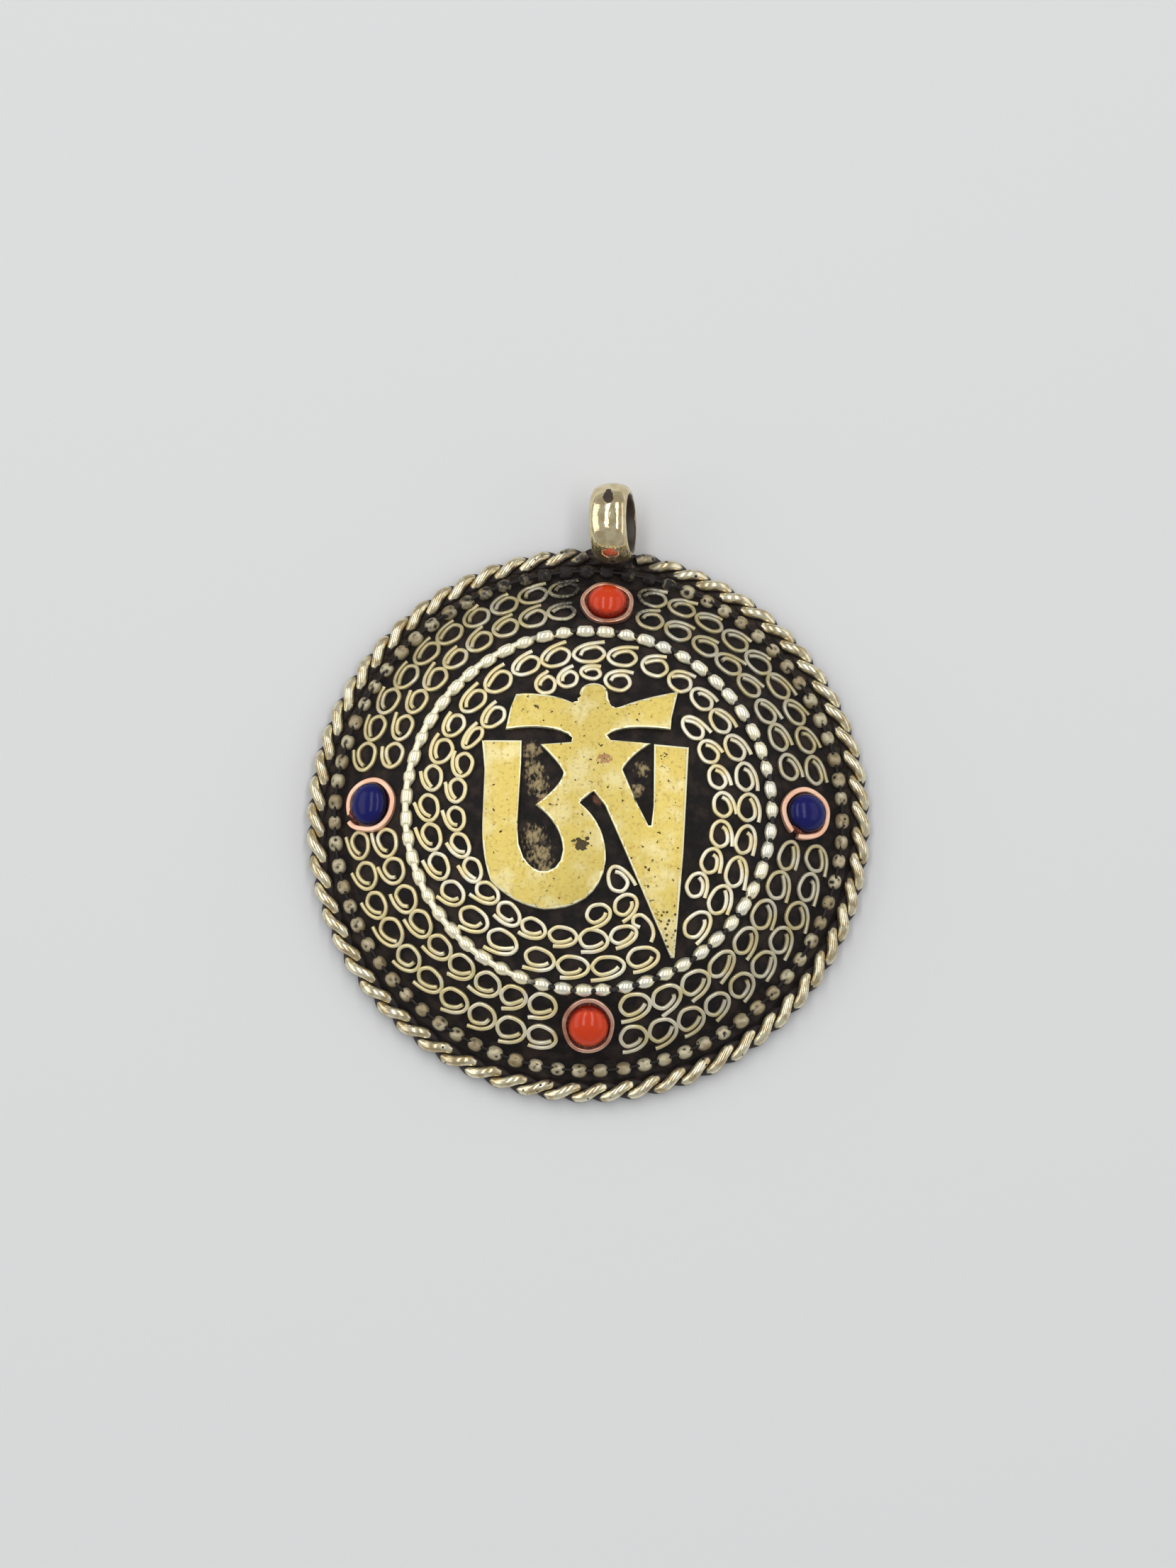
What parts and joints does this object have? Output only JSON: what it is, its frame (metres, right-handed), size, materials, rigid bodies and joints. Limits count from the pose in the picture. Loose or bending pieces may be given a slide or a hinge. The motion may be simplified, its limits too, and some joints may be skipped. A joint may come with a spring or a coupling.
{
  "type": "om pendant",
  "caption": "Round domed metal pendant with a cut om plate, wire curls, bead rings, bezel-set stones, a twisted rope rim and a fixed band bail to hang it by.",
  "frame": {"origin": "middle of the flat back face of the round body", "axes": "+Z out of the front through the top of the dome, +Y from the centre of the disc towards the bail, +X to the right seen from the front"},
  "size_m": [0.0598, 0.0661, 0.0105],
  "materials": {
    "blackened_sheet": "oxidised matte, lightly pitted",
    "rubbed_white_metal": "oxidised, rubbed bright on top",
    "worn_brass": "worn satin with pits and grey bloom",
    "pale_brass": "polished with wear marks",
    "copper": "satin copper",
    "coral": "polished opaque orange red",
    "lapis": "polished opaque deep blue",
    "red_cement": "dull red brown cement"
  },
  "bodies": {
    "root": {"back_plate": "blackened_sheet", "dome_plate": "blackened_sheet", "bail_solder": "blackened_sheet", "rope_strand_1": "rubbed_white_metal", "rope_strand_2": "rubbed_white_metal", "outer_bead_border": "rubbed_white_metal", "inner_bead_ring": "rubbed_white_metal", "om_plate": "worn_brass", "bail": "pale_brass", "outer_curls_upper_right": "rubbed_white_metal", "inner_curls_upper_right": "rubbed_white_metal", "outer_curls_lower_right": "rubbed_white_metal", "inner_curls_lower_right": "rubbed_white_metal", "outer_curls_lower_left": "rubbed_white_metal", "inner_curls_lower_left": "rubbed_white_metal", "outer_curls_upper_left": "rubbed_white_metal", "inner_curls_upper_left": "rubbed_white_metal", "field_curls_ring": "rubbed_white_metal", "field_curls_top": "rubbed_white_metal", "field_curls_right": "rubbed_white_metal", "field_curls_left": "rubbed_white_metal", "field_curls_hook": "rubbed_white_metal", "bezel_coral_top": "copper", "cement_coral_top": "red_cement", "stone_coral_top": "coral", "bezel_lapis_right": "copper", "cement_lapis_right": "red_cement", "stone_lapis_right": "lapis", "bezel_coral_bottom": "copper", "cement_coral_bottom": "red_cement", "stone_coral_bottom": "coral", "bezel_lapis_left": "copper", "cement_lapis_left": "red_cement", "stone_lapis_left": "lapis"}
  },
  "joints": []
}
